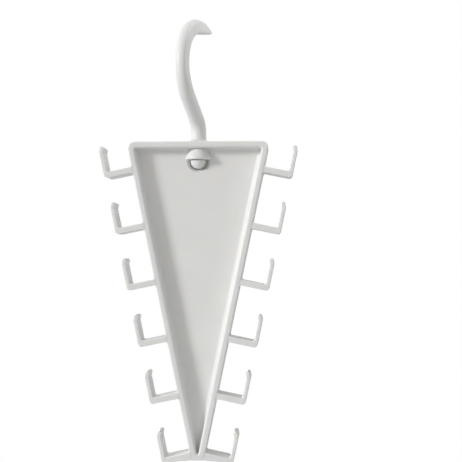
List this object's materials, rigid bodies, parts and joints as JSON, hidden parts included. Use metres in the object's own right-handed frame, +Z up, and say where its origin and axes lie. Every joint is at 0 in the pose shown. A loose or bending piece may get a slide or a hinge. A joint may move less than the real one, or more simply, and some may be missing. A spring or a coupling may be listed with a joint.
{
  "type": "tie hanger",
  "caption": "Tie hanger: a long triangular tray with an upright row of tie hooks down each side, hung from a suspension hook that swivels in a boss under the top rail",
  "frame": {"origin": "the suspension hook's seat: the point on the pivot axis where the closet rail bears under the bow", "axes": "+Z up along the pivot axis, +X to the right across the tray, the tray's front faces -Y"},
  "size_m": [0.1298, 0.0484, 0.2896],
  "materials": {
    "hanger_tray": "fine satin",
    "swivel_hook": "fine satin"
  },
  "bodies": {
    "suspension_hook": {"hook_bow": "swivel_hook", "hook_neck": "swivel_hook", "hook_bend": "swivel_hook", "pivot_shank": "swivel_hook", "snap_pin": "swivel_hook"},
    "tray": {"web": "hanger_tray", "top_rail": "hanger_tray", "rim_corner_left": "hanger_tray", "rim_corner_right": "hanger_tray", "side_rail_left": "hanger_tray", "side_rail_right": "hanger_tray", "pivot_boss": "hanger_tray", "head_cup": "hanger_tray", "tie_hook_left_1": "hanger_tray", "tie_hook_left_2": "hanger_tray", "tie_hook_left_3": "hanger_tray", "tie_hook_left_4": "hanger_tray", "tie_hook_left_5": "hanger_tray", "tie_hook_left_6": "hanger_tray", "tie_hook_right_1": "hanger_tray", "tie_hook_right_2": "hanger_tray", "tie_hook_right_3": "hanger_tray", "tie_hook_right_4": "hanger_tray", "tie_hook_right_5": "hanger_tray", "tie_hook_right_6": "hanger_tray"}
  },
  "joints": [
    {"name": "swivel", "type": "hinge", "parent": "suspension_hook", "child": "tray", "pos_m": [0, 0, -0.07515], "axis": [0, 0, 1], "continuous": true}
  ]
}
